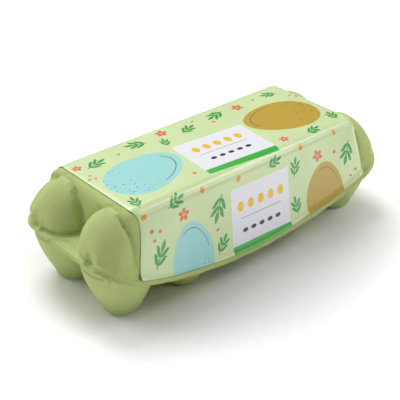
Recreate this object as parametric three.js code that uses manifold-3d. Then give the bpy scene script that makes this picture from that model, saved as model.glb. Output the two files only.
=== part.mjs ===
// A shut egg carton of moulded paper pulp, in millimetres: the tray, the lid that stands on it, and the printed
// paper glued round the lid. The origin is on the table under the middle of the carton. +X runs along a row of
// five cups, -Y is the printed front with its low flap, +Z is up.

import * as THREE from "three";
import { mergeVertices } from "three/addons/utils/BufferGeometryUtils.js";
import Module from "manifold-3d";

// The grid of cups
const COLUMNS = 5;
const PITCH = 48; // from cup to cup along a row
const ROW_Y = 25.4; // from the middle line to each row

// A cup of the tray: a flat foot with a rounded edge, and a wall that flares up to the rim
const FOOT_FLAT_R = 7.5;
const FOOT_R = 13.2;
const FOOT_EDGE = 5;
const FOOT_EDGE_STEPS = 2;
const CUP_R = 24.3;
const CUP_WALL_STEPS = 4;
const CUP_SIDES = 24;

// The rim round the carton, seen from above: round corners and long sides that bow in towards their middles
const RIM_X = 122;
const RIM_Y = 52.5;
const RIM_MIDDLE_Y = 49;
const RIM_CORNER_R = 23;
const RIM_CURVE_STEPS = 10;
const BOW_START_X = 70;
const BOW_END_X = 60;
const LID_RIM = 2.6; // thickness of the lid's rim
const LIP = 1.6; // the narrowest that its upper side gets, at the feet of the domes
const TRAY_RIM = 2.2; // thickness of the tray's rim
const TRAY_RIM_INSET = 1.2;
const PARTING = 0.3; // the slit between tray and lid, and between lid and paper

// The underside of the lid lies at one height, but in front it hangs down as a flap with a curved lower edge
const SEAT_Z = 40.5;
const FLAP_Z = 11.8;
const FLAP_INNER_Y = [-65, -43.2, -41.8, -40.4, -39, -37.6, -36, 65];
const PARTING_STEP = 8;

// The lid's box: long edges rounded, walls that lean outwards towards the rim
const HEIGHT = 72.4; // of the pulp; the paper on top adds its slit and its thickness
const BOX_END_X = 98.5;
const END_ROUND = 6;
const END_ROUND_STEPS = 3;
const LONG_ROUND = 7.5;
const ROUND_STEPS = 4; // to a quarter turn of the long edges
const FRONT_ROUND_Y = -32.2; // middle of the long edge's rounding
const BACK_ROUND_Y = 34.5;
const WALL_LEAN = 0.12;
const END_LEAN = 0.001; // growth in length for each millimetre below the top
const WALL_STEPS = 3;
const FLARE = 4.8; // how far the walls' feet stand out at the outermost cups
const FLARE_FROM_X = 40;
const FLARE_TO_X = 98;
const FLARE_FROM_Z = 66;
const FLARE_TO_Z = 28;
const BOX_STEP = 11;

// The egg-shaped domes at both ends of the lid, one over each outermost cup
const DOME_X = 99.6;
const DOME_Y = 22.7;
const DOME_R = 18.4;
const DOME_TOP = 71.2;
const DOME_WIDEST_Z = 44;
const DOME_POWER = 2.4;
const DOME_LEAN_X = 5; // how far the top leans in over the box
const DOME_LEAN_Y = 1.8; // and away from the other dome
const DOME_FOOT_Z = 20;
const DOME_STEPS = 8;
const DOME_SIDES = 28;

// A dome's flank, which runs out to the rim's corner. Directions are in degrees from the carton's length.
const FLANK = 9; // how far it stands out at this height:
const FLANK_Z = 40;
const FLANK_POWER = 1.5;
const FLANK_LEAST = 0.1; // share of it in the directions that face the middle
const FLANK_MOST = 0.95;
const FLANK_STARTS = 0;
const FLANK_FULL = 40;
const FLANK_FADES = 65;
const FLANK_ENDS = 105;
const FLANK_FADE = 0.6; // share that is gone where it ends

// The printed paper round the lid
const PAPER_X = 91.5;
const PAPER = 0.45;
const PAPER_BACK_Z = 47;
const PAPER_ABOVE_RIM = 0.8;

// Blocks that cut reach clear past the carton: down to this level, and to this half length
const BELOW = -8;
const CLEAR_X = 1.5 * RIM_X;
const SAME_POINT = 0.001; // vertices closer than this are one

// Looks
const PULP = { color: 0xb4c27c, roughness: 0.9, metalness: 0 };
const PRINTED_PAPER = { color: 0xd3e6b0, roughness: 0.5, metalness: 0 };

const wasm = await Module();
wasm.setup();

// A closed geometry as a solid for cutting and joining
function solid(geometry) {
  const bare = geometry.clone();
  bare.deleteAttribute("normal");
  bare.deleteAttribute("uv");
  const merged = mergeVertices(bare, SAME_POINT);
  return new wasm.Manifold(
    new wasm.Mesh({
      numProp: 3,
      vertProperties: merged.getAttribute("position").array,
      triVerts: new Uint32Array(merged.getIndex().array),
    }),
  );
}

// A solid as a named mesh with its own material
function mesh(name, shape, finish) {
  const { vertProperties, triVerts } = shape.getMesh();
  const geometry = new THREE.BufferGeometry();
  geometry.setAttribute("position", new THREE.BufferAttribute(vertProperties, 3));
  geometry.setIndex(new THREE.BufferAttribute(triVerts, 1));
  geometry.computeVertexNormals();
  const made = new THREE.Mesh(geometry, new THREE.MeshStandardMaterial(finish));
  made.name = name;
  return made;
}

// Moves every vertex of a geometry by a function of its place
function reshape(geometry, move) {
  const position = geometry.getAttribute("position");
  const point = new THREE.Vector3();
  for (let i = 0; i < position.count; i += 1) {
    move(point.fromBufferAttribute(position, i));
    position.setXYZ(i, point.x, point.y, point.z);
  }
  return geometry;
}

// A body turned from a profile of [radius, height] pairs about an upright axis at x, y
function turned(profile, sides, x, y) {
  const points = profile.map(([r, z]) => new THREE.Vector2(r, z));
  return new THREE.LatheGeometry(points, sides).rotateX(Math.PI / 2).translate(x, y, 0);
}

// The rim's outline seen from above, drawn inset by a distance
function rimOutline(inset) {
  const r = RIM_CORNER_R - inset;
  const side = RIM_Y - inset;
  const middle = RIM_MIDDLE_Y - inset;
  const cornerX = RIM_X - RIM_CORNER_R;
  const cornerY = RIM_Y - RIM_CORNER_R;
  const quarter = Math.PI / 2;
  const outline = new THREE.Shape();
  outline.moveTo(0, -middle);
  outline.bezierCurveTo(BOW_END_X, -middle, BOW_START_X, -side, cornerX, -side);
  outline.absarc(cornerX, -cornerY, r, -quarter, 0, false);
  outline.absarc(cornerX, cornerY, r, 0, quarter, false);
  outline.bezierCurveTo(BOW_START_X, side, BOW_END_X, middle, 0, middle);
  outline.bezierCurveTo(-BOW_END_X, middle, -BOW_START_X, side, -cornerX, side);
  outline.absarc(-cornerX, cornerY, r, quarter, 2 * quarter, false);
  outline.absarc(-cornerX, -cornerY, r, 2 * quarter, 3 * quarter, false);
  outline.bezierCurveTo(-BOW_START_X, -side, -BOW_END_X, -middle, 0, -middle);
  return outline;
}

// How far the parting surface lies below its seat: nothing behind, a curve along the front
function drop(x, y) {
  const inner = FLAP_INNER_Y[1];
  const outer = FLAP_INNER_Y[FLAP_INNER_Y.length - 2];
  const along = Math.max(0, 1 - (x / RIM_X) ** 2);
  return (SEAT_Z - FLAP_Z) * along * (1 - THREE.MathUtils.smoothstep(y, inner, outer));
}

// All the space below the parting surface, raised by a distance
function belowParting(raised) {
  const length = 2 * (RIM_X + PARTING_STEP);
  const rows = FLAP_INNER_Y.length - 1;
  const block = new THREE.BoxGeometry(length, rows, 2, Math.round(length / PARTING_STEP), rows, 1);
  reshape(block, (p) => {
    p.y = FLAP_INNER_Y[Math.round(p.y + rows / 2)];
    p.z = p.z > 0 ? SEAT_Z + raised - drop(p.x, p.y) : BELOW;
  });
  return solid(block);
}

// All the space inside the rim's outline
function insideRim(inset) {
  const column = new THREE.ExtrudeGeometry(rimOutline(inset), {
    depth: HEIGHT - BELOW,
    bevelEnabled: false,
    curveSegments: RIM_CURVE_STEPS,
  });
  return solid(column.translate(0, 0, BELOW));
}

// A sheet that follows the parting surface inside the rim's outline
function rimSheet(inset, bottom, top) {
  return insideRim(inset).intersect(belowParting(top)).subtract(belowParting(bottom));
}

// The lid's cross section, front to the left, drawn grown by a distance and ending clear below the carton
function lidSection(grown) {
  const tilt = Math.atan(WALL_LEAN);
  const r = LONG_ROUND + grown;
  const centreZ = HEIGHT - LONG_ROUND;
  const kneeZ = centreZ + r * Math.sin(tilt);
  const kneeOut = r * Math.cos(tilt);
  const levels = [BELOW];
  for (let i = 0; i < WALL_STEPS; i += 1) {
    levels.push(FLARE_TO_Z + ((kneeZ - FLARE_TO_Z) * i) / WALL_STEPS);
  }
  const out = (z) => kneeOut + WALL_LEAN * (kneeZ - z);
  const section = new THREE.Shape();
  section.moveTo(FRONT_ROUND_Y - out(BELOW), BELOW);
  for (const z of levels) section.lineTo(BACK_ROUND_Y + out(z), z);
  section.absarc(BACK_ROUND_Y, centreZ, r, tilt, Math.PI / 2, false);
  section.absarc(FRONT_ROUND_Y, centreZ, r, Math.PI / 2, Math.PI - tilt, false);
  for (const z of levels.slice(1).reverse()) section.lineTo(FRONT_ROUND_Y - out(z), z);
  return section;
}

// The walls' feet stand out at the outermost cups
function flare(p) {
  const along = THREE.MathUtils.smoothstep(Math.abs(p.x), FLARE_FROM_X, FLARE_TO_X);
  const up = THREE.MathUtils.clamp((p.z - FLARE_TO_Z) / (FLARE_FROM_Z - FLARE_TO_Z), 0, 1);
  p.y += Math.sign(p.y) * FLARE * along * (1 - up * up);
}

// The cross section drawn out along X to a half length, with rounded ends where an edge is given
function alongX(section, halfLength, edge) {
  const straight = halfLength - edge;
  const body = new THREE.ExtrudeGeometry(section, {
    depth: 2 * straight,
    steps: Math.round((2 * straight) / BOX_STEP),
    bevelEnabled: edge > 0,
    bevelThickness: edge,
    bevelSize: edge,
    bevelOffset: -edge,
    bevelSegments: END_ROUND_STEPS,
    curveSegments: ROUND_STEPS,
  }).translate(0, 0, -straight);
  const upright = new THREE.Matrix4().makeBasis(
    new THREE.Vector3(0, 1, 0),
    new THREE.Vector3(0, 0, 1),
    new THREE.Vector3(1, 0, 0),
  );
  return body.applyMatrix4(upright);
}

// The ends lean outwards, and so does all that lies between them in its measure
function lean(p) {
  p.x *= 1 + END_LEAN * (HEIGHT - THREE.MathUtils.clamp(p.z, FLAP_Z, HEIGHT));
}

// The leaning and flaring shape of the lid's walls, given to a straight body
function lidForm(body) {
  return solid(
    reshape(body, (p) => {
      lean(p);
      flare(p);
    }),
  );
}

// The share of its full width that a dome's flank has in a direction
function flankShare(outX, outY) {
  const direction = THREE.MathUtils.radToDeg(Math.atan2(outY, outX));
  const corner = THREE.MathUtils.smoothstep(direction, FLANK_STARTS, FLANK_FULL);
  const fade = FLANK_FADE * THREE.MathUtils.smoothstep(direction, FLANK_FADES, FLANK_ENDS);
  return FLANK_LEAST + (FLANK_MOST - FLANK_LEAST) * corner * (1 - fade);
}

// An egg's end: upright at its widest, closing and leaning inwards towards its top
function dome(x, y) {
  const profile = [
    [0, DOME_FOOT_Z],
    [DOME_R, DOME_FOOT_Z],
  ];
  for (let i = 0; i <= DOME_STEPS; i += 1) {
    const turn = (i / DOME_STEPS) * (Math.PI / 2);
    const rise = Math.sin(turn);
    const r = DOME_R * Math.sqrt(1 - rise ** DOME_POWER);
    profile.push([i === DOME_STEPS ? 0 : r, DOME_WIDEST_Z + (DOME_TOP - DOME_WIDEST_Z) * rise]);
  }
  return solid(
    reshape(turned(profile, DOME_SIDES, x, y), (p) => {
      const rise = Math.max(0, (p.z - DOME_WIDEST_Z) / (DOME_TOP - DOME_WIDEST_Z));
      const down = Math.max(0, (DOME_TOP - p.z) / (DOME_TOP - FLANK_Z));
      const share = flankShare((p.x - x) * Math.sign(x), (p.y - y) * Math.sign(y));
      const grow = 1 + (FLANK / DOME_R) * share * down ** FLANK_POWER;
      p.x = x + (p.x - x) * grow - Math.sign(x) * DOME_LEAN_X * rise * rise;
      p.y = y + (p.y - y) * grow + Math.sign(y) * DOME_LEAN_Y * rise * rise;
    }),
  );
}

// One cup of the tray, standing on its foot and solid up to the rim
function cup(x, y) {
  const edge = FOOT_R - FOOT_FLAT_R;
  const profile = [[0, 0]];
  for (let i = 0; i < FOOT_EDGE_STEPS; i += 1) {
    const turn = (i / FOOT_EDGE_STEPS) * (Math.PI / 2);
    profile.push([FOOT_FLAT_R + edge * Math.sin(turn), FOOT_EDGE * (1 - Math.cos(turn))]);
  }
  for (let i = 0; i <= CUP_WALL_STEPS; i += 1) {
    const up = i / CUP_WALL_STEPS;
    const r = FOOT_R + (CUP_R - FOOT_R) * Math.sin((up * Math.PI) / 2);
    profile.push([r, FOOT_EDGE + (SEAT_Z - FOOT_EDGE) * up]);
  }
  profile.push([0, SEAT_Z]);
  return solid(turned(profile, CUP_SIDES, x, y));
}

function makeLid() {
  let lid = lidForm(alongX(lidSection(0), BOX_END_X, END_ROUND));
  for (const x of [-DOME_X, DOME_X]) {
    for (const y of [-DOME_Y, DOME_Y]) lid = lid.add(dome(x, y).intersect(insideRim(LIP)));
  }
  return lid.subtract(belowParting(0)).add(rimSheet(0, 0, LID_RIM));
}

function makeTray() {
  let tray = rimSheet(TRAY_RIM_INSET, -PARTING - TRAY_RIM, -PARTING);
  const behindFlap = new THREE.BoxGeometry(2 * CLEAR_X, 2 * RIM_Y, 2 * HEIGHT);
  behindFlap.translate(0, FLAP_INNER_Y[1] + RIM_Y, 0);
  tray = tray.intersect(solid(behindFlap));
  const first = (-(COLUMNS - 1) * PITCH) / 2;
  for (let column = 0; column < COLUMNS; column += 1) {
    for (const y of [-ROW_Y, ROW_Y]) tray = tray.add(cup(first + column * PITCH, y));
  }
  return tray.intersect(belowParting(-PARTING));
}

function makePaper() {
  const outer = alongX(lidSection(PARTING + PAPER), PAPER_X, 0);
  const inner = alongX(lidSection(PARTING), PAPER_X + 1, 0);
  const behind = new THREE.BoxGeometry(2 * CLEAR_X, 2 * RIM_Y, 2 * PAPER_BACK_Z).translate(0, RIM_Y, 0);
  const shell = lidForm(outer).subtract(lidForm(inner)).subtract(solid(behind));
  return shell.subtract(belowParting(LID_RIM + PAPER_ABOVE_RIM));
}

const carton = new THREE.Group();
carton.add(mesh("tray", makeTray(), PULP));
carton.add(mesh("lid", makeLid(), PULP));
carton.add(mesh("paper", makePaper(), PRINTED_PAPER));

export default carton;
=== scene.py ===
# %% [markdown]
# # A shut egg carton of moulded pulp
#
# The carton has three pieces. The tray is the lower half with its cups, the lid is the upper half with
# domes at its ends and a flap in front, and a printed paper is glued round the lid. The construction comes
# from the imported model, which is true in size but faceted. Here each piece gets its real surface: soft pulp
# edges, a thin sheet of paper, and the finish of both. Lengths are in metres, and `MM` turns millimetres
# into them.

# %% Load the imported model
import math

import bmesh
import bpy
from mathutils import Matrix, Vector


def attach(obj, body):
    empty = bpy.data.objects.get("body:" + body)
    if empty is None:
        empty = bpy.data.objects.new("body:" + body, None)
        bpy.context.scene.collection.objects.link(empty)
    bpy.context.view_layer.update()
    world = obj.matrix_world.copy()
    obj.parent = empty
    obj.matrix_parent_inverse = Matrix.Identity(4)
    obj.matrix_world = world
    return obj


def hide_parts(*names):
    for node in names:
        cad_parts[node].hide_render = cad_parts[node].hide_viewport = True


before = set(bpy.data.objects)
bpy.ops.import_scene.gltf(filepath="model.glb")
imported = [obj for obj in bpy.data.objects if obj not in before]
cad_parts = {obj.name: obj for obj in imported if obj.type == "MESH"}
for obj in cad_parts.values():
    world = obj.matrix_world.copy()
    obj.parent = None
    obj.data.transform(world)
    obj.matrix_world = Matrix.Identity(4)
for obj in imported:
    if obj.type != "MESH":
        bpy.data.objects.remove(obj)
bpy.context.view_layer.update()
MM = 0.001

# %% [markdown]
# ## The camera
#
# The camera comes first. A camera at azimuth 0 looks along +Y, and it turns about Z. Its place and angles
# were worked out from the carton's outline, on the rule that upright edges are upright and the rim lies
# level. The lens follows from the photograph's perspective.

# %% Camera
CAMERA_PLACE = Vector((-0.36798, -0.42441, 0.36421))
CAMERA_AZIMUTH = math.radians(-40.17)
CAMERA_ELEVATION = math.radians(30.93)
CAMERA_ROLL = math.radians(-0.61)
LENS = 86.2  # millimetres, as is the sensor's width
SENSOR_WIDTH = 36

camera_data = bpy.data.cameras.new("camera")
camera_data.lens = LENS
camera_data.sensor_width = SENSOR_WIDTH
camera_data.clip_start = 0.01
camera = bpy.data.objects.new("camera", camera_data)
turn = Matrix.Rotation(CAMERA_AZIMUTH, 4, "Z")
tilt = Matrix.Rotation(math.pi / 2 - CAMERA_ELEVATION, 4, "X")
roll = Matrix.Rotation(CAMERA_ROLL, 4, "Z")
camera.matrix_world = Matrix.Translation(CAMERA_PLACE) @ turn @ tilt @ roll
bpy.context.scene.collection.objects.link(camera)
bpy.context.scene.camera = camera
print("camera", round(CAMERA_PLACE.length, 3), "m from the origin")

# %% [markdown]
# ## Shader maths as Python expressions
#
# A material of many nodes is hard to read when every node is made by hand. `Socket` wraps the output of a
# node, so that `1 - mask` or `a * b` adds the Math node that does it. `Recipe` belongs to one material and
# makes any other node from its type, its settings and what its sockets get.


# %% Sockets as numbers
class Socket:
    def __init__(self, recipe, output):
        self.recipe = recipe
        self.output = output

    def __add__(self, other):
        return self.recipe.maths("ADD", self, other)

    def __radd__(self, other):
        return self.recipe.maths("ADD", other, self)

    def __sub__(self, other):
        return self.recipe.maths("SUBTRACT", self, other)

    def __rsub__(self, other):
        return self.recipe.maths("SUBTRACT", other, self)

    def __mul__(self, other):
        return self.recipe.maths("MULTIPLY", self, other)

    def __rmul__(self, other):
        return self.recipe.maths("MULTIPLY", other, self)

    def __mod__(self, other):
        return self.recipe.maths("FLOORED_MODULO", self, other)

    def __abs__(self):
        return self.recipe.maths("ABSOLUTE", self)

    def __lt__(self, other):
        return self.recipe.maths("LESS_THAN", self, other)

    def smaller(self, other):
        return self.recipe.maths("MINIMUM", self, other)

    def larger(self, other):
        return self.recipe.maths("MAXIMUM", self, other)


# %% One recipe for each material
class Recipe:
    def __init__(self, name):
        self.material = bpy.data.materials.new(name)
        self.material.use_nodes = True
        self.tree = self.material.node_tree
        self.shader = self.tree.nodes["Principled BSDF"]

    def node(self, kind, settings=None, sockets=None, out=0):
        made = self.tree.nodes.new(kind)
        for name, value in (settings or {}).items():
            setattr(made, name, value)
        self.feed(made, sockets or {})
        return Socket(self, made.outputs[out])

    def feed(self, made, sockets):
        for name, value in sockets.items():
            if isinstance(value, Socket):
                self.tree.links.new(value.output, made.inputs[name])
            else:
                made.inputs[name].default_value = value

    def maths(self, operation, *values):
        """A Math node, which every operator of Socket is made of."""
        return self.node("ShaderNodeMath", {"operation": operation}, dict(enumerate(values)))

    def mix(self, under, over, mask):
        """The colour over laid on the colour under, where the mask is 1."""
        settings = {"data_type": "RGBA", "clamp_factor": True}
        return self.node("ShaderNodeMix", settings, {0: mask, 6: under, 7: over}, out=2)

    def choose(self, first, second, mask):
        """One of two vectors: the second where the mask is 1."""
        return self.node("ShaderNodeMix", {"data_type": "VECTOR"}, {0: mask, 4: first, 5: second}, out=1)

    def fade(self, value, low, high):
        """1 where the value is below low, 0 above high, and a smooth step between."""
        sockets = {"Value": value, "From Min": low, "From Max": high, "To Min": 1.0, "To Max": 0.0}
        return self.node("ShaderNodeMapRange", {"interpolation_type": "SMOOTHSTEP"}, sockets)

    def noise(self, where, scale, detail=2.0, roughness=0.5):
        sockets = {"Vector": where, "Scale": scale, "Detail": detail, "Roughness": roughness}
        return self.node("ShaderNodeTexNoise", None, sockets)

    def placed(self, where, x, y, turn=0.0, size=(1.0, 1.0)):
        """Coordinates whose zero is at x, y, turned by an angle in degrees and measured in units of size."""
        sockets = {"Vector": where, "Location": (x, y, 0), "Scale": (*size, 1)}
        sockets["Rotation"] = (0, 0, math.radians(turn))
        return self.node("ShaderNodeMapping", {"vector_type": "TEXTURE"}, sockets)

    def length(self, vector):
        return self.node("ShaderNodeVectorMath", {"operation": "LENGTH"}, {0: vector}, out="Value")

    def parts(self, vector):
        """The X and the Y of a vector."""
        x = self.node("ShaderNodeSeparateXYZ", None, {"Vector": vector})
        return x, Socket(self, x.output.node.outputs[1])

    def nearest(self, where, places):
        """Coordinates on whichever of the places is closest. A place is x, y, turn, size."""
        x, y, turn, size = places[0]
        best = self.placed(where, x, y, turn, (size, size))
        distance = self.length(best)
        for x, y, turn, size in places[1:]:
            local = self.placed(where, x, y, turn, (size, size))
            away = self.length(local)
            best = self.choose(best, local, away < distance)
            distance = away.smaller(distance)
        return best, distance


# %% Colours as they look on a screen
def paint(red, green, blue):
    """The linear colour of an sRGB colour given in steps of 0 to 255."""

    def linear(step):
        share = step / 255
        return share / 12.92 if share <= 0.04045 else ((share + 0.055) / 1.055) ** 2.4

    return (linear(red), linear(green), linear(blue), 1.0)


# %% [markdown]
# ## Floor and light
#
# A product photograph on white has large, soft lights and a floor so bright that it comes out white. Most
# of the light comes from above and behind, so that the top is bright and the near end lies in half shade.
# Two smaller lamps on the right stand where the glossy paper mirrors them along its rounded front edge. The
# floor glows a little further out, as a lit table does, so that it is white there and still takes a soft
# shadow close by. The view transform is the plain one, because the filmic ones would turn the white floor
# grey.


# %% Floor
def link(mesh, name):
    piece = bpy.data.objects.new(name, mesh)
    bpy.context.scene.collection.objects.link(piece)
    return piece


FLOOR_SIZE = 3.0
FLOOR_GLOW = 0.6
GLOW_FROM = 0.08
GLOW_FULL = 0.21
FLOOR_COLOR = (0.9, 0.9, 0.9, 1)
FLOOR_ROUGHNESS = 0.9


def floor_paint():
    r = Recipe("floor paint")
    away = r.length(r.node("ShaderNodeTexCoord", out="Object"))
    r.feed(r.shader, {"Emission Color": 1 - r.fade(away, GLOW_FROM, GLOW_FULL)})
    r.shader.inputs["Base Color"].default_value = FLOOR_COLOR
    r.shader.inputs["Roughness"].default_value = FLOOR_ROUGHNESS
    r.shader.inputs["Emission Strength"].default_value = FLOOR_GLOW
    return r.material


floor_shape = bmesh.new()
bmesh.ops.create_grid(floor_shape, x_segments=1, y_segments=1, size=FLOOR_SIZE)
floor_mesh = bpy.data.meshes.new("floor")
floor_shape.to_mesh(floor_mesh)
floor_shape.free()
floor_mesh.materials.append(floor_paint())
link(floor_mesh, "floor")
print("floor:", 2 * FLOOR_SIZE, "m wide")

# %% Lights
SCENE = bpy.context.scene
SCENE.view_settings.view_transform = "Standard"
WORLD_STRENGTH = 0.02
world = bpy.data.worlds.new("soft white room")
world.use_nodes = True
world.node_tree.nodes["Background"].inputs["Color"].default_value = (1, 1, 1, 1)
world.node_tree.nodes["Background"].inputs["Strength"].default_value = WORLD_STRENGTH
SCENE.world = world


def softbox(name, place, aim, size, power):
    lamp = bpy.data.lights.new(name, "AREA")
    lamp.shape = "DISK"
    lamp.size = size
    lamp.energy = power
    holder = bpy.data.objects.new(name, lamp)
    towards = Vector(aim) - Vector(place)
    holder.matrix_world = Matrix.Translation(place) @ towards.to_track_quat("-Z", "Y").to_matrix().to_4x4()
    SCENE.collection.objects.link(holder)


LAMPS = (  # name, place, height of the place it points at, width in metres, power in watts
    ("overhead", (-0.12, 0.0, 1.1), 0.04, 0.9, 2.7),
    ("behind", (0.1, 0.55, 0.95), 0.05, 0.7, 7.2),
    ("back left", (-0.7, 0.7, 0.8), 0.05, 0.6, 3.4),
    ("edge sheen, high", (0.58, -0.44, 0.77), 0.05, 0.4, 2.3),
    ("edge sheen, low", (0.58, -0.72, 0.46), 0.05, 0.36, 1.3),
)
for lamp_name, place, aim_z, width, power in LAMPS:
    softbox(lamp_name, place, (0, 0, aim_z), width, power)

# %% [markdown]
# ## The finish of moulded pulp
#
# Moulded pulp is paper mush, dyed in the vat, drained on a wire mould and dried. So its colour is never
# even: paler and darker fibres lie in it, and wide patches are a shade warmer. Its surface is matt and
# finely rough. The colour starts from one green. A wide noise varies it, and stretched noises draw the
# fibres. The same fibres and a fine grain go to a Bump node. All of it reads Object coordinates, which are
# metres here, so a scale is in features for each metre.


# %% Pulp
PATCHES = 28.0
WAVES = 240.0
GRAIN = 900.0
SPECKS = 1200.0
FIBRES = 1400.0
FIBRE_STRETCH = 0.12
FIBRE_TURNS = (0.4, 1.5, 2.6)
PATCH_FADE = (0.4, 0.7)  # the values of a noise between which its colour comes in
PATCH_STRENGTH = 0.3
FIBRE_FADE = (0.64, 0.76)
FIBRE_STRENGTH = 0.45
SPECK_FADE = (0.27, 0.4)
SPECK_STRENGTH = 0.4
GRAIN_FADE = (0.3, 0.55)
GRAIN_STRENGTH = 0.14
PULP_BUMP = 0.3 * MM
PULP_GLOSS = 0.28


def pulp_finish(name, base, dark, pale):
    r = Recipe(name)
    where = r.node("ShaderNodeTexCoord", out="Object")
    patches = r.noise(where, PATCHES, 3.0)
    grain = r.noise(where, GRAIN, 4.0, 0.6)
    color = r.mix(base, pale, (1 - r.fade(patches, *PATCH_FADE)) * PATCH_STRENGTH)
    fibres = None
    for turn in FIBRE_TURNS:
        sockets = {"Vector": where, "Rotation": (turn, 0.7 * turn, turn), "Scale": (1, 1, FIBRE_STRETCH)}
        strand = r.noise(r.node("ShaderNodeMapping", {"vector_type": "POINT"}, sockets), FIBRES, 1.0)
        fibres = strand if fibres is None else fibres.larger(strand)
    color = r.mix(color, pale, (1 - r.fade(fibres, *FIBRE_FADE)) * FIBRE_STRENGTH)
    specks = r.noise(where, SPECKS, 2.0)
    color = r.mix(color, dark, r.fade(specks, *SPECK_FADE) * SPECK_STRENGTH)
    color = r.mix(color, dark, r.fade(grain, *GRAIN_FADE) * GRAIN_STRENGTH)
    height = grain * 0.7 + fibres * 0.6 + r.noise(where, WAVES, 3.0) * 1.1
    normal = r.node("ShaderNodeBump", None, {"Strength": 0.3, "Distance": PULP_BUMP, "Height": height})
    r.feed(r.shader, {"Base Color": color, "Roughness": 0.8 + grain * 0.12, "Normal": normal})
    r.shader.inputs["Specular IOR Level"].default_value = PULP_GLOSS
    return r.material


PULP = paint(188, 203, 130)
PULP_DARK = paint(140, 152, 84)
PULP_PALE = paint(208, 220, 156)
pulp = pulp_finish("pistachio pulp", PULP, PULP_DARK, PULP_PALE)
print("pulp nodes:", len(pulp.node_tree.nodes))

# %% [markdown]
# ## From a faceted solid to soft pulp
#
# Pulp can't hold a sharp edge: every corner is rounded and every inner corner is filled. A copy of the CAD
# solid already has the right form, so it is the start. Its triangles are merged into one closed skin, and a
# voxel remesh turns that into even, small quads. Then the points that lie on a turned wall move out to its
# true circle, and smoothing rounds the rest. A Bevel modifier could round the outer edges, but not the
# creases where domes meet walls.


# %% Melting helpers
SAME_POINT = 0.002 * MM


def solid_copy(node):
    shape = bmesh.new()
    shape.from_mesh(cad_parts[node].data)
    bmesh.ops.remove_doubles(shape, verts=shape.verts, dist=SAME_POINT)
    return shape


def melted(shape, name, voxel):
    """A new object whose skin is the voxel remesh of everything in the bmesh."""
    mesh = bpy.data.meshes.new(name)
    shape.to_mesh(mesh)
    shape.free()
    piece = link(mesh, name)
    remesh = piece.modifiers.new("melt", "REMESH")
    remesh.mode = "VOXEL"
    remesh.voxel_size = voxel
    depsgraph = bpy.context.evaluated_depsgraph_get()
    melted_mesh = bpy.data.meshes.new_from_object(piece.evaluated_get(depsgraph))
    piece.modifiers.clear()
    piece.data = melted_mesh
    bpy.data.meshes.remove(mesh)
    melted_mesh.name = name
    return piece


def soft_step(share):
    """0 up to a share of 0, 1 from a share of 1, and a smooth step between."""
    share = min(1.0, max(0.0, share))
    return share * share * (3 - 2 * share)


def smooth(shape, verts, times):
    every_way = {"use_axis_x": True, "use_axis_y": True, "use_axis_z": True}
    for _ in range(times):
        bmesh.ops.smooth_vert(shape, verts=verts, factor=0.5, **every_way)


def finish_piece(shape, piece, material, node):
    for face in shape.faces:
        face.smooth = True
    shape.to_mesh(piece.data)
    shape.free()
    piece.data.materials.clear()
    piece.data.materials.append(material)
    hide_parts(node)
    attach(piece, "root")
    print(piece.name, len(piece.data.polygons), "faces")


# %% [markdown]
# ## The lid
#
# The dome over an egg is a turned form whose top leans in over the box, and whose flank runs out to the
# rim's corner. `onto_dome` tells how far a point is from that form and moves it there, if it is close. The
# mould presses deep creases where the domes meet the box. They are found by the angle between faces, sunk
# along their normals and left out of most of the smoothing, so that they stay dark and crisp while
# everything round them softens. At the back, the box's corners stand out a little beside the domes.

# %% The true form of a dome
DOME_CENTRE = (99.6 * MM, 22.7 * MM)
DOME_RADIUS = 18.4 * MM
DOME_TOP = 71.2 * MM
DOME_WIDEST_Z = 44 * MM
DOME_RISE = DOME_TOP - DOME_WIDEST_Z
DOME_POWER = 2.4
DOME_LEAN = (5 * MM, 1.8 * MM)
FLANK = 9 * MM
FLANK_Z = 40 * MM  # the height at which the flank stands out that far
FLANK_POWER = 1.5
FLANK_LEAST = 0.1
FLANK_MOST = 0.95
FLANK_FULL = 40  # degrees from the carton's length
FLANK_FADES = 65
FLANK_ENDS = 105
FLANK_FADE = 0.6
DOME_SPAN = (0.02, 1.05)  # the heights that count as dome, as shares of its rise
AXIS_CLOSE = 0.5 * MM


def flank_share(out_x, out_y):
    """The share of its full width that the flank has in a direction: most towards the rim's corner."""
    direction = math.degrees(math.atan2(out_y, out_x))
    fade = FLANK_FADE * soft_step((direction - FLANK_FADES) / (FLANK_ENDS - FLANK_FADES))
    return FLANK_LEAST + (FLANK_MOST - FLANK_LEAST) * soft_step(direction / FLANK_FULL) * (1 - fade)


def onto_dome(point, close):
    """Moves a point that is closer than this to the dome's surface onto it."""
    rise = (point.z - DOME_WIDEST_Z) / DOME_RISE
    if not DOME_SPAN[0] < rise < DOME_SPAN[1]:
        return
    side_x = math.copysign(1, point.x)
    side_y = math.copysign(1, point.y)
    lean_x = -side_x * DOME_LEAN[0] * rise * rise
    lean_y = side_y * DOME_LEAN[1] * rise * rise
    axis = Vector((lean_x + side_x * DOME_CENTRE[0], lean_y + side_y * DOME_CENTRE[1]))
    away = point.xy - axis
    if away.length < AXIS_CLOSE:
        return
    down = max(0.0, (DOME_TOP - point.z) / (DOME_TOP - FLANK_Z))
    grow = 1 + FLANK / DOME_RADIUS * flank_share(away.x * side_x, away.y * side_y) * down**FLANK_POWER
    radius = away.length / grow
    excess = (radius / DOME_RADIUS) ** 2 + rise**DOME_POWER - 1
    slope_out = 2 * radius / (DOME_RADIUS**2 * grow)
    slope_up = DOME_POWER * rise ** (DOME_POWER - 1) / DOME_RISE
    steep = slope_out**2 + slope_up**2
    if abs(excess) > close * math.sqrt(steep):
        return
    step = -excess / steep
    point.xy += away.normalized() * slope_out * step
    point.z += slope_up * step


print("a dome rises", round(DOME_RISE / MM, 1), "mm above its widest place")

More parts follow.
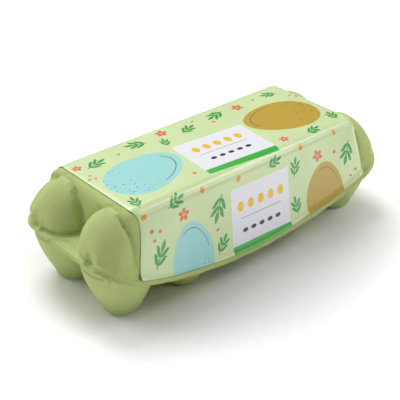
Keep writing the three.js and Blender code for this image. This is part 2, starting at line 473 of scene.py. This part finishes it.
# %% The lid's measures
RIM_TOP = 43.1 * MM
LID_VOXEL = 1.0 * MM
END_FROM_X = 84 * MM
CREASE_ANGLE = math.radians(-13)  # below 0 at an inner corner
CREASE_DEPTH = 1.5 * MM
CREASE_SHOULDER = 0.6 * MM
FOOT_CREASE_DEPTH = 0.7 * MM
CREASE_FROM_Z = RIM_TOP - 2 * MM
DEEP_FROM_Z = RIM_TOP + 2 * MM
SOFT_FROM_Z = RIM_TOP + 1.5 * MM
END_SMOOTHS = 8
SNAP_FIRST = 0.5 * MM
SNAP_AGAIN = 0.9 * MM
POST_FROM_Y = 36 * MM
POST_FROM_X = 93 * MM
POST_FULL_X = 98 * MM
POST_RISE = 8 * MM
POST_OUT = 3.2 * MM
print("the lid's voxels are", LID_VOXEL / MM, "mm wide")

# %% Lid
lid = melted(solid_copy("lid"), "pulp_lid", LID_VOXEL)
lid_shape = bmesh.new()
lid_shape.from_mesh(lid.data)
for vert in lid_shape.verts:
    if vert.co.y > POST_FROM_Y and vert.co.z > RIM_TOP:
        along = soft_step((abs(vert.co.x) - POST_FROM_X) / (POST_FULL_X - POST_FROM_X))
        up = soft_step((vert.co.z - RIM_TOP) / POST_RISE)
        vert.co.y += POST_OUT * along * up
    if abs(vert.co.x) > END_FROM_X:
        onto_dome(vert.co, SNAP_FIRST)
creased = set()
for edge in lid_shape.edges:
    start = edge.verts[0].co
    if abs(start.x) > END_FROM_X and start.z > CREASE_FROM_Z:
        if edge.calc_face_angle_signed(0) < CREASE_ANGLE:
            creased.update(edge.verts)
shoulders = {edge.other_vert(vert) for vert in creased for edge in vert.link_edges} - creased
ends = [v for v in lid_shape.verts if abs(v.co.x) > END_FROM_X and v.co.z > SOFT_FROM_Z]
plain = [v for v in ends if v not in creased and v not in shoulders]
smooth(lid_shape, plain, END_SMOOTHS)
for vert in plain:
    onto_dome(vert.co, SNAP_AGAIN)
lid_shape.normal_update()
for vert in creased:
    vert.co -= vert.normal * (CREASE_DEPTH if vert.co.z > DEEP_FROM_Z else FOOT_CREASE_DEPTH)
for vert in shoulders:
    vert.co -= vert.normal * CREASE_SHOULDER
smooth(lid_shape, lid_shape.verts, 1)
smooth(lid_shape, ends, 1)
print("creased points:", len(creased))

# %% [markdown]
# Smoothing pulls the rim's narrow outer edge inwards, so it is pushed back out to its true outline, and its
# side is sloped as the mould leaves it. Then the rim's ends get their small reliefs: a half-round hollow
# for a fingertip between the two domes, and at the foot of each dome a little upright nub with a dent
# beside it. All are moves of points, because the mesh is fine enough there and these forms have no edges of
# their own.

# %% The rim's outline
RIM_END_X = 122 * MM
RIM_SIDE_Y = 52.5 * MM
RIM_CORNER = 23 * MM
RIM_BOW = 3.5 * MM
BOW_FROM_X = 110 * MM
SEAT_Z = 40.5 * MM
FLAP_DROP = 28.7 * MM
FLAP_OUTER_Y = -43.2 * MM
FLAP_INNER_Y = -37.6 * MM
LID_RIM = 2.6 * MM
RIM_BELOW_Z = RIM_TOP + 0.3 * MM
RIM_WIDTH = 1.8 * MM
RIM_SWELL = 0.55 * MM
RIM_INSIDE = 0.05 * MM
RIM_SLOPE = 1.3 * MM
SLOPE_WIDTH = 2 * MM


def rim_gap(x, y):
    """How far inside the rim's outline a place is."""
    past_x = abs(x) - (RIM_END_X - RIM_CORNER)
    past_y = abs(y) - (RIM_SIDE_Y - RIM_CORNER)
    if past_x > 0 and past_y > 0:
        return RIM_CORNER - math.hypot(past_x, past_y)
    if past_x > 0:
        return RIM_END_X - abs(x)
    bow = RIM_BOW * (1 - soft_step(abs(x) / BOW_FROM_X))
    return RIM_SIDE_Y - bow - abs(y)


def inwards(x, y):
    """The direction that leads away from the rim's outline."""
    step = 0.1 * MM
    here = rim_gap(x, y)
    return Vector((rim_gap(x + step, y) - here, rim_gap(x, y + step) - here)).normalized()


def rim_seat(place):
    """The height of the rim's underside, which hangs down in front as the flap."""
    front = 1 - soft_step((place.y - FLAP_OUTER_Y) / (FLAP_INNER_Y - FLAP_OUTER_Y))
    return SEAT_Z - FLAP_DROP * max(0.0, 1 - (place.x / RIM_END_X) ** 2) * front


print("the flap's lowest place is", round((SEAT_Z - FLAP_DROP) / MM, 1), "mm above the table")

# %% The rim, pushed out to its outline
lid_shape.normal_update()
for vert in lid_shape.verts:
    if vert.co.z < RIM_BELOW_Z and rim_gap(vert.co.x, vert.co.y) < RIM_WIDTH:
        vert.co.xy += vert.normal.xy * RIM_SWELL
        gap = rim_gap(vert.co.x, vert.co.y)
        beyond = max(0.0, RIM_INSIDE - gap)
        up = soft_step((vert.co.z - rim_seat(vert.co)) / LID_RIM)
        slope = RIM_SLOPE * (1 - soft_step(gap / SLOPE_WIDTH)) * up
        vert.co.xy += inwards(vert.co.x, vert.co.y) * (beyond + slope)
print("rim reaches:", max(vert.co.x for vert in lid_shape.verts), max(vert.co.y for vert in lid_shape.verts))

# %% Reliefs at the rim's ends
HOLLOW = (8.5 * MM, 14 * MM)
HOLLOW_Y = -2 * MM
HOLLOW_DEPTH = 1.3 * MM
HOLLOW_EDGE = 1.06
HOLLOW_SOFT = 0.16
HOLLOW_BELOW_Z = RIM_TOP + 3 * MM
RELIEFS_FROM_Z = RIM_TOP - 1.6 * MM
RELIEF_REACH = 1.4
NUB = Vector((120.2, 24.2, 46.5)) * MM
NUB_SIZE = Vector((2.2, 1.9, 5.0)) * MM
NUB_HEIGHT = 2.0 * MM
DENT = Vector((117.0, 29.5, 46.4)) * MM
DENT_SIZE = Vector((5.0, 4.8, 5.6)) * MM
DENT_DEPTH = 2.2 * MM


def nearness(place, centre, size):
    """1 at the centre of a relief, 0 outside its size. Both ends and both sides have it."""
    off = Vector((abs(place.x), abs(place.y), place.z)) - centre
    reach = Vector((off.x / size.x, off.y / size.y, off.z / size.z)).length
    return soft_step(RELIEF_REACH - reach)


lid_shape.normal_update()
for vert in lid_shape.verts:
    p = vert.co
    if abs(p.x) < END_FROM_X or p.z < RELIEFS_FROM_Z:
        continue
    reach = math.hypot((RIM_END_X - abs(p.x)) / HOLLOW[0], (p.y - HOLLOW_Y) / HOLLOW[1])
    if p.z < HOLLOW_BELOW_Z:
        p.z -= HOLLOW_DEPTH * soft_step((HOLLOW_EDGE - reach) / HOLLOW_SOFT)
    shift = NUB_HEIGHT * nearness(p, NUB, NUB_SIZE) - DENT_DEPTH * nearness(p, DENT, DENT_SIZE)
    p += vert.normal * shift
    p.x = math.copysign(min(abs(p.x), RIM_END_X), p.x)
finish_piece(lid_shape, lid, pulp, "lid")

# %% [markdown]
# ## The tray
#
# The tray's cups are turned forms too: a flat foot with a rounded edge, and a wall that flares to the rim.
# Their points move to the true circles in the same way as the domes'. Its rim is drawn in a little, so that
# the lid's rim throws a line of shadow on it.

# %% Tray
CUP_PITCH = 48 * MM
COLUMNS = [CUP_PITCH * column for column in (-2, -1, 0, 1, 2)]
ROW_Y = 25.4 * MM
FOOT_FLAT = 7.5 * MM
FOOT_RADIUS = 13.2 * MM
FOOT_EDGE = 5 * MM
CUP_RADIUS = 24.3 * MM
CUP_TOP_Z = SEAT_Z
CUP_CLOSE = 0.7 * MM
FOOT_CLOSE = 0.15  # as a share of its size
TRAY_VOXEL = 1.15 * MM
TRAY_RIM_FROM_Z = 36 * MM
TRAY_RIM_WIDTH = 4 * MM
TRAY_RIM_IN = 0.8 * MM


def onto_cup(point):
    """Moves a point that is close to its cup's wall, or to the round edge of its foot, onto it."""
    centre_x = min(COLUMNS, key=lambda x: abs(point.x - x))
    centre_y = math.copysign(ROW_Y, point.y)
    away = Vector((point.x - centre_x, point.y - centre_y))
    radius = away.length
    if point.z >= FOOT_EDGE:
        up = (point.z - FOOT_EDGE) / (CUP_TOP_Z - FOOT_EDGE)
        true = FOOT_RADIUS + (CUP_RADIUS - FOOT_RADIUS) * math.sin(min(up, 1) * math.pi / 2)
        if abs(radius - true) < CUP_CLOSE:
            point.xy = Vector((centre_x, centre_y)) + away * (true / radius)
    elif radius > FOOT_FLAT:
        edge = FOOT_RADIUS - FOOT_FLAT
        out = (radius - FOOT_FLAT) / edge
        down = (FOOT_EDGE - point.z) / FOOT_EDGE
        grow = 1 / max(0.5, math.hypot(out, down))
        if abs(grow - 1) < FOOT_CLOSE:
            point.xy = Vector((centre_x, centre_y)) + away * ((FOOT_FLAT + edge * out * grow) / radius)
            point.z = max(0.0, FOOT_EDGE - FOOT_EDGE * down * grow)


tray = melted(solid_copy("tray"), "pulp_tray", TRAY_VOXEL)
tray_shape = bmesh.new()
tray_shape.from_mesh(tray.data)
smooth(tray_shape, tray_shape.verts, 2)
for vert in tray_shape.verts:
    onto_cup(vert.co)
smooth(tray_shape, tray_shape.verts, 2)
tray_shape.normal_update()
for vert in tray_shape.verts:
    if vert.co.z > TRAY_RIM_FROM_Z and rim_gap(vert.co.x, vert.co.y) < TRAY_RIM_WIDTH:
        vert.co.xy -= vert.normal.xy * TRAY_RIM_IN
    vert.co.z = max(0.0, vert.co.z)
finish_piece(tray_shape, tray, pulp, "tray")

# %% [markdown]
# ## The printed paper
#
# On the real carton a sheet of thin paper is glued round the lid: over the top, down the front to the
# flap's lip, and a little way down the back. It could be cut out of the lid's own skin, but then its print
# would have no coordinates of its own. So it is modelled as the sheet it is. A flat grid gets its flat
# places as a UV map, and then each point is wound round the lid's section. The print is drawn on the flat
# sheet and follows every bend. Its lowest part curves out a little with the flap's lip.

# %% The lid's section, which the paper follows, in millimetres
LID_TOP = 72.4
ROUND = 7.5
PROUD = 0.75
BEND_FRONT_Y = -32.2
BEND_BACK_Y = 34.5
BEND_Z = LID_TOP - ROUND
WALL_LEAN = 0.12
WALL_TILT = math.atan(WALL_LEAN)
BEND = (ROUND + PROUD) * (math.pi / 2 - WALL_TILT)
TOP_WIDTH = BEND_BACK_Y - BEND_FRONT_Y
PAPER_BACK_Z = 47.3


def section(v, proud):
    """The y and z of a place on the section. v runs over the sheet, 0 where the front bend starts."""
    front = v < TOP_WIDTH / 2
    past = -v if front else v - TOP_WIDTH
    outwards = -1 if front else 1
    y = BEND_FRONT_Y if front else BEND_BACK_Y
    if past < 0:
        return BEND_FRONT_Y + v, LID_TOP + proud
    angle = min(past, BEND) / (ROUND + PROUD)
    down = max(0.0, past - BEND)
    out = (ROUND + proud) * math.sin(angle) + down * math.sin(WALL_TILT)
    return y + outwards * out, BEND_Z + (ROUND + proud) * math.cos(angle) - down * math.cos(WALL_TILT)


def wall_length(z):
    """How far down a wall, from the end of the bend, the height z is."""
    knee = BEND_Z + (ROUND + PROUD) * math.sin(WALL_TILT)
    return (knee - z) / math.cos(WALL_TILT)


print("top:", round(TOP_WIDTH, 1), "mm, each bend:", round(BEND, 1), "mm of the sheet")

# %% How the lid departs from its section
END_LEAN = 0.001
FLARE = 4.8
FLARE_FROM_X = 40
FLARE_TO_X = 98
FLARE_FROM_Z = 66
FLARE_TO_Z = 28
BOX_STRAIGHT_X = 92.5
END_ROUND = 6.0


def lean_and_flare(x, y, z):
    """The lid's ends lean outwards, and its walls stand out at the outermost cups."""
    over_end = max(0.0, abs(x) - BOX_STRAIGHT_X)
    if z > BEND_Z:
        z -= END_ROUND - math.sqrt(END_ROUND**2 - over_end**2)
    else:
        y -= math.copysign(END_ROUND - math.sqrt(END_ROUND**2 - over_end**2), y)
    x *= 1 + END_LEAN * (LID_TOP - z)
    along = soft_step((abs(x) - FLARE_FROM_X) / (FLARE_TO_X - FLARE_FROM_X))
    up = min(1.0, max(0.0, (z - FLARE_TO_Z) / (FLARE_FROM_Z - FLARE_TO_Z)))
    return x, y + math.copysign(FLARE * along * (1 - up * up), y), z


# %% The sheet's measures, in millimetres
COLUMN_COUNT = 150
ROWS = (("front wall", 44), ("front bend", 12), ("top", 50), ("back bend", 12), ("back wall", 12))
LEFT_TOP_X = -93
LEFT_FRONT_X = -89.5
LEFT_LOW_X = -93.5
RIGHT_X = 96
RIGHT_LOW_X = 97
SHEET_UNIT = 200  # millimetres of the sheet for 1 of its UV map
EDGE_FADE = 2.5
EDGE_PROUD = 0.5
FOOT_CURVE = 4.5
FOOT_OUT = 1.7
DROP_ENDS_X = 122
PAPER_END_Z = 43.8
PAPER_DROP = 28.9
PAPER_THICKNESS = 0.4 * MM


def flap_edge_z(x):
    """The height of the paper's lower edge in front."""
    return PAPER_END_Z - PAPER_DROP * (1 - (x / DROP_ENDS_X) ** 2)


def row_place(row, lowest, highest):
    """The place on the sheet of a row, between the lowest and the highest place of its column."""
    stations = (lowest, -BEND, 0, TOP_WIDTH, TOP_WIDTH + BEND, highest)
    for index, (_, count) in enumerate(ROWS):
        if row <= count:
            return stations[index] + (stations[index + 1] - stations[index]) * row / count
        row -= count
    return highest


row_total = sum(count for _, count in ROWS)
print("the sheet's grid:", COLUMN_COUNT, "by", row_total)

# %% Winding the sheet
sheet = bmesh.new()
bmesh.ops.create_grid(sheet, x_segments=COLUMN_COUNT, y_segments=row_total, size=0.5)
flat_places = sheet.loops.layers.uv.new("flat")
flat_of = {}
for vert in sheet.verts:
    across = vert.co.x + 0.5
    row = round((vert.co.y + 0.5) * row_total)
    guess = LEFT_TOP_X + across * (RIGHT_X - LEFT_TOP_X)
    edge_z = flap_edge_z(guess * (1 + END_LEAN * (LID_TOP - flap_edge_z(guess))))
    lowest = -BEND - wall_length(edge_z)
    highest = TOP_WIDTH + BEND + wall_length(PAPER_BACK_Z)
    v = row_place(row, lowest, highest)
    down_front = soft_step((-v - BEND) / (-lowest - BEND))
    left = LEFT_TOP_X + (LEFT_FRONT_X - LEFT_TOP_X) * soft_step(-v / BEND)
    left += (LEFT_LOW_X - LEFT_FRONT_X) * down_front
    right = RIGHT_X + (RIGHT_LOW_X - RIGHT_X) * down_front
    u = left + across * (right - left)
    to_edge = min(u - left, right - u, v - lowest, highest - v)
    proud = EDGE_PROUD + (PROUD - EDGE_PROUD) * soft_step(to_edge / EDGE_FADE)
    y, z = section(v, proud)
    y -= FOOT_OUT * max(0.0, 1 - (v - lowest) / FOOT_CURVE) ** 2
    vert.co = Vector(lean_and_flare(u, y, z)) * MM
    flat_of[vert] = (u / SHEET_UNIT + 0.5, v / SHEET_UNIT + 0.5)
for face in sheet.faces:
    face.smooth = True
    for loop in face.loops:
        loop[flat_places].uv = flat_of[loop.vert]
for edge in sheet.edges:
    edge.smooth = not edge.is_boundary
paper_mesh = bpy.data.meshes.new("printed_paper")
sheet.to_mesh(paper_mesh)
sheet.free()
paper = link(paper_mesh, "printed_paper")
thickness = paper.modifiers.new("paper thickness", "SOLIDIFY")
thickness.thickness = PAPER_THICKNESS
thickness.offset = -1
print("paper:", len(paper_mesh.polygons), "faces")

# %% [markdown]
# ## The print
#
# The print is a plain pattern of painted eggs, sprigs, flowers and dots round two white fields, each with a
# green band and rows of ovals. A picture file would be the quick way, but a drawn shape stays sharp at any
# size. Each motif is a formula in coordinates centred on it. For the sprigs, dots and flowers, the closest
# place of the kind is found first, and then its formula is worked out once. The paper is varnished: a Coat,
# smoother than the paper under it, gives the sheen along the rounded edge.

# %% Colours of the print
GROUND = paint(222, 240, 182)
GROUND_SHADE = paint(206, 226, 168)
FIELD = paint(246, 246, 253)
BAND = paint(66, 190, 66)
AQUA = paint(166, 229, 226)
AQUA_DOTS = paint(110, 178, 186)
MUSTARD = paint(203, 172, 66)
MUSTARD_DARK = paint(170, 128, 34)
CORAL = paint(230, 118, 94)
ORANGE = paint(240, 160, 62)
LEAF = paint(62, 166, 76)
YELLOW = paint(250, 205, 36)
INK = paint(44, 44, 42)
LINE = paint(130, 124, 96)
SOFT = 0.12  # millimetres over which a printed edge fades


# %% Painted eggs
EGG_TAPER = 0.28
SPECKLES = 9.0
STROKE = 0.66  # the egg's own coordinate on which its highlight is drawn


def egg_mask(r, where, x, y, turn, half_length, half_width):
    """The inside of an egg that points to its turn, and its own coordinates, which run from -1 to 1."""
    local = r.placed(where, x, y, turn, (half_length, half_width))
    along, aside = r.parts(local)
    shape = along * along + aside * aside * (1 + EGG_TAPER * along)
    fade = 2 * SOFT / half_width
    return r.fade(shape, 1 - fade, 1 + fade), shape, along, aside, local


def speckled_egg(r, color, where, place, main, dots):
    inside, shape, along, aside, local = egg_mask(r, where, *place)
    color = r.mix(color, main, inside)
    cells = r.node("ShaderNodeTexVoronoi", None, {"Vector": local, "Scale": SPECKLES})
    patch = r.fade(along, -0.55, 0.1) * inside
    color = r.mix(color, dots, r.fade(cells, 0.2, 0.26) * patch)
    stroke = r.fade(abs(shape - STROKE), 0.018, 0.03)
    stroke = stroke * (1 - r.fade(along, 0.0, 0.04)) * r.fade(aside, 0.3, 0.34)
    return r.mix(color, LINE, stroke)


# %% Sprigs
SPRIG_SPACING = 4.4
SPRIG_PAIRS = 2
SPRIG_LEAF = 7.4
LEAF_WIDTH = 5.2
STEM = 0.32
SPRIG_ANGLE = math.radians(42)
SPRIG_LENGTH = SPRIG_SPACING * SPRIG_PAIRS + 5
HALF_SPRIG = SPRIG_LENGTH / 2


def sprig_mask(r, local):
    """A stem with pairs of pointed leaves and one leaf at its tip."""
    x, aside = r.parts(local)
    x = x + HALF_SPRIG
    aside = abs(aside)
    foot = x - aside * (1 / math.tan(SPRIG_ANGLE))
    across = (foot % SPRIG_SPACING - SPRIG_SPACING / 2) * math.sin(SPRIG_ANGLE)
    along = aside * (1 / (SPRIG_LEAF * math.sin(SPRIG_ANGLE)))
    leaf_width = LEAF_WIDTH * along * (1 - along)
    half = SPRIG_SPACING * SPRIG_PAIRS / 2
    on_stem = r.fade(abs(foot - half), half - SOFT, half)
    leaves = r.fade(abs(across) - leaf_width, -SOFT, SOFT) * on_stem * r.fade(along, 0.96, 1.0)
    stem_end = r.fade(abs(x - HALF_SPRIG), HALF_SPRIG, HALF_SPRIG + SOFT)
    stem = r.fade(aside, STEM, STEM + 2 * SOFT) * stem_end
    tip = (x - 2 * half) * (1 / SPRIG_LEAF)
    tip_leaf = r.fade(aside - LEAF_WIDTH * tip * (1 - tip), -SOFT, SOFT)
    return leaves.larger(stem).larger(tip_leaf * r.fade(abs(tip - 0.5), 0.48, 0.5))


# %% Flowers
PETALS = 5
PETAL_INNER = 2.0
PETAL_LENGTH = 2.4
HEART = (0.95, 1.2)  # where a flower's yellow heart starts to fade and where it ends


def flower_mask(r, local, distance):
    x, y = r.parts(local)
    half_turns = r.maths("ARCTAN2", y, x) * (PETALS / 2)
    petals = abs(r.maths("COSINE", half_turns))
    return r.fade(distance - (PETAL_INNER + PETAL_LENGTH * petals), -SOFT, SOFT)


# %% White fields
FIELD_ROWS = (  # level as a share of the height, pitch, half length and half width, colour
    (0.22, 8.6, (2.6, 3.5), YELLOW),
    (-0.14, 7.0, (2.2, 1.5), INK),
)
RULE_LEVEL = 0.045
RULE_HALF = 0.34


def white_field(r, color, where, x, y, turn, width, height, band):
    """A white field with a green band along its foot, and on it small yellow eggs, a line and dark ovals."""
    local = r.placed(where, x, y, turn)
    across, up = r.parts(local)
    inside = r.fade(abs(across) - width / 2, -SOFT, SOFT) * r.fade(abs(up) - height / 2, -SOFT, SOFT)
    color = r.mix(color, FIELD, inside)
    color = r.mix(color, BAND, inside * r.fade(up - (band - height / 2), -SOFT, SOFT))
    for level, pitch, half, tint in FIELD_ROWS:
        along = ((across + pitch / 2) % pitch - pitch / 2) * (1 / half[0])
        aside = (up - level * height) * (1 / half[1])
        oval = along * along + aside * aside
        marks = r.fade(oval, 0.9, 1.1) * r.fade(abs(across), 2.45 * pitch, 2.5 * pitch)
        color = r.mix(color, tint, marks)
    rule = r.fade(abs(up - RULE_LEVEL * height), 0.12, 0.3)
    rule = rule * r.fade(abs(across), RULE_HALF * width, (RULE_HALF + 0.01) * width)
    return r.mix(color, LINE, rule)


# %% Where the motifs lie on the sheet
SPRIGS = (  # x, y, turn in degrees, size
    (-85, 2, 80, 0.8), (-76, 56, 15, 1.0), (-40, 60, 160, 1.0), (-1, 55, 20, 0.9), (28, 59, 195, 1.0),
    (79, 59, 160, 0.8), (88, 5, 80, 0.8), (-24, 50, 75, 0.7), (-78, -37, 60, 1.1), (-29, -25, 250, 1.2),
    (-28, -52, 60, 0.9), (-62, -9, 20, 0.9), (37, -22, 80, 0.9), (36, -50, 100, 0.9), (84, -25, 245, 1.1),
    (19, -11.5, 15, 0.8), (62, -1, 10, 0.8), (-62, 86, 200, 1.0), (-8, 85, 15, 1.0), (50, 86, 170, 1.0),
)
ORANGE_DOTS = (
    (-86, -10, 10, 2.2), (-41, -9, 70, 2.1), (-12, -12, 40, 2.1), (44, -9, 60, 2.2), (76, -9, 100, 2.0),
    (20, 52, 0, 1.7), (-36, 6, 20, 1.7), (-35, 85, 20, 2.0), (24, 86, 20, 2.0),
)
CORAL_DOTS = (
    (-90, 42, 0, 1.3), (-87, 46, 0, 1.1), (-86, 41, 0, 1.0), (-57, 57, 0, 1.2), (9, 62, 0, 1.1),
    (64, 60, 0, 1.2), (92, 44, 0, 1.3), (89, 48, 0, 1.0), (93, 50, 0, 1.1), (-82, -20, 0, 1.6),
    (-76, -22, 0, 1.3), (-81, -26, 0, 1.2), (73, -22, 0, 1.5), (-31, -40, 0, 1.2), (89, -40, 0, 1.4),
    (84, -43, 0, 1.2), (70, 84, 0, 1.3), (-80, 84, 0, 1.3),
)
FLOWERS = (
    (-18, 62, 0, 1.0), (47, 58, 30, 1.0), (-57, -19, 10, 1.0), (58, -20, 40, 1.0), (38, 2, 0, 0.8),
    (-88, 59, 0, 0.8),
)
# x, y, turn in degrees, half length, half width
AQUA_EGGS = ((-58.5, 27, 12, 29.5, 20.5), (-52, -49, 95, 23.5, 16.5))
MUSTARD_EGGS = ((61, 28, 168, 28.5, 20.5), (61, -48, 84, 22, 15.5))
# x, y, turn in degrees, width, height, height of the band
FIELDS = ((0.6, 17.9, -4.5, 56.5, 43, 5.2), (5.4, -42.5, -1.0, 49.5, 49, 8.5))
print("motifs:", len(SPRIGS) + len(ORANGE_DOTS) + len(CORAL_DOTS) + len(FLOWERS))


# %% Printed paper
CLOUDS = 30.0
RIPPLES = 220.0
DOT_WIDTH = 0.82
PAPER_BUMP = 0.2 * MM
PAPER_BUMP_STRENGTH = 0.12
CLOUD_FADE = (0.3, 0.7)
CLOUD_STRENGTH = 0.35
VARNISH = 0.6
VARNISH_ROUGHNESS = 0.2


def printed_paper():
    r = Recipe("printed paper")
    unit = r.node("ShaderNodeUVMap", {"uv_map": "flat"})
    sockets = {"Vector": unit, "Location": (-SHEET_UNIT / 2, -SHEET_UNIT / 2, 0)}
    sockets["Scale"] = (SHEET_UNIT, SHEET_UNIT, 1)
    where = r.node("ShaderNodeMapping", {"vector_type": "POINT"}, sockets)
    solid = r.node("ShaderNodeTexCoord", out="Object")
    fibres = r.noise(solid, FIBRES, 3.0)
    clouds = r.fade(r.noise(solid, CLOUDS, 2.0), *CLOUD_FADE) * CLOUD_STRENGTH
    color = r.mix(GROUND, GROUND_SHADE, clouds)
    for place in AQUA_EGGS:
        color = speckled_egg(r, color, where, place, AQUA, AQUA_DOTS)
    for place in MUSTARD_EGGS:
        color = speckled_egg(r, color, where, place, MUSTARD, MUSTARD_DARK)
    for places, tint in ((ORANGE_DOTS, ORANGE), (CORAL_DOTS, CORAL)):
        distance = None
        for x, y, turn, size in places:
            away = r.length(r.placed(where, x, y, turn, (size, size * DOT_WIDTH)))
            distance = away if distance is None else distance.smaller(away)
        color = r.mix(color, tint, r.fade(distance, 0.92, 1.08))
    local, distance = r.nearest(where, FLOWERS)
    color = r.mix(color, CORAL, flower_mask(r, local, distance))
    color = r.mix(color, YELLOW, r.fade(distance, *HEART))
    local, distance = r.nearest(where, SPRIGS)
    color = r.mix(color, LEAF, sprig_mask(r, local))
    for field in FIELDS:
        color = white_field(r, color, where, *field)
    color = r.mix(color, FIELD, r.fade(fibres, 0.3, 0.5) * 0.06)
    height = fibres * 0.5 + r.noise(solid, RIPPLES, 2.0)
    sockets = {"Strength": PAPER_BUMP_STRENGTH, "Distance": PAPER_BUMP, "Height": height}
    normal = r.node("ShaderNodeBump", None, sockets)
    r.feed(r.shader, {"Base Color": color, "Roughness": 0.29 + fibres * 0.08, "Normal": normal})
    r.shader.inputs["Coat Weight"].default_value = VARNISH
    r.shader.inputs["Coat Roughness"].default_value = VARNISH_ROUGHNESS
    return r.material


print_finish = printed_paper()
paper_mesh.materials.append(print_finish)
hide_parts("paper")
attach(paper, "root")
print("print nodes:", len(print_finish.node_tree.nodes))
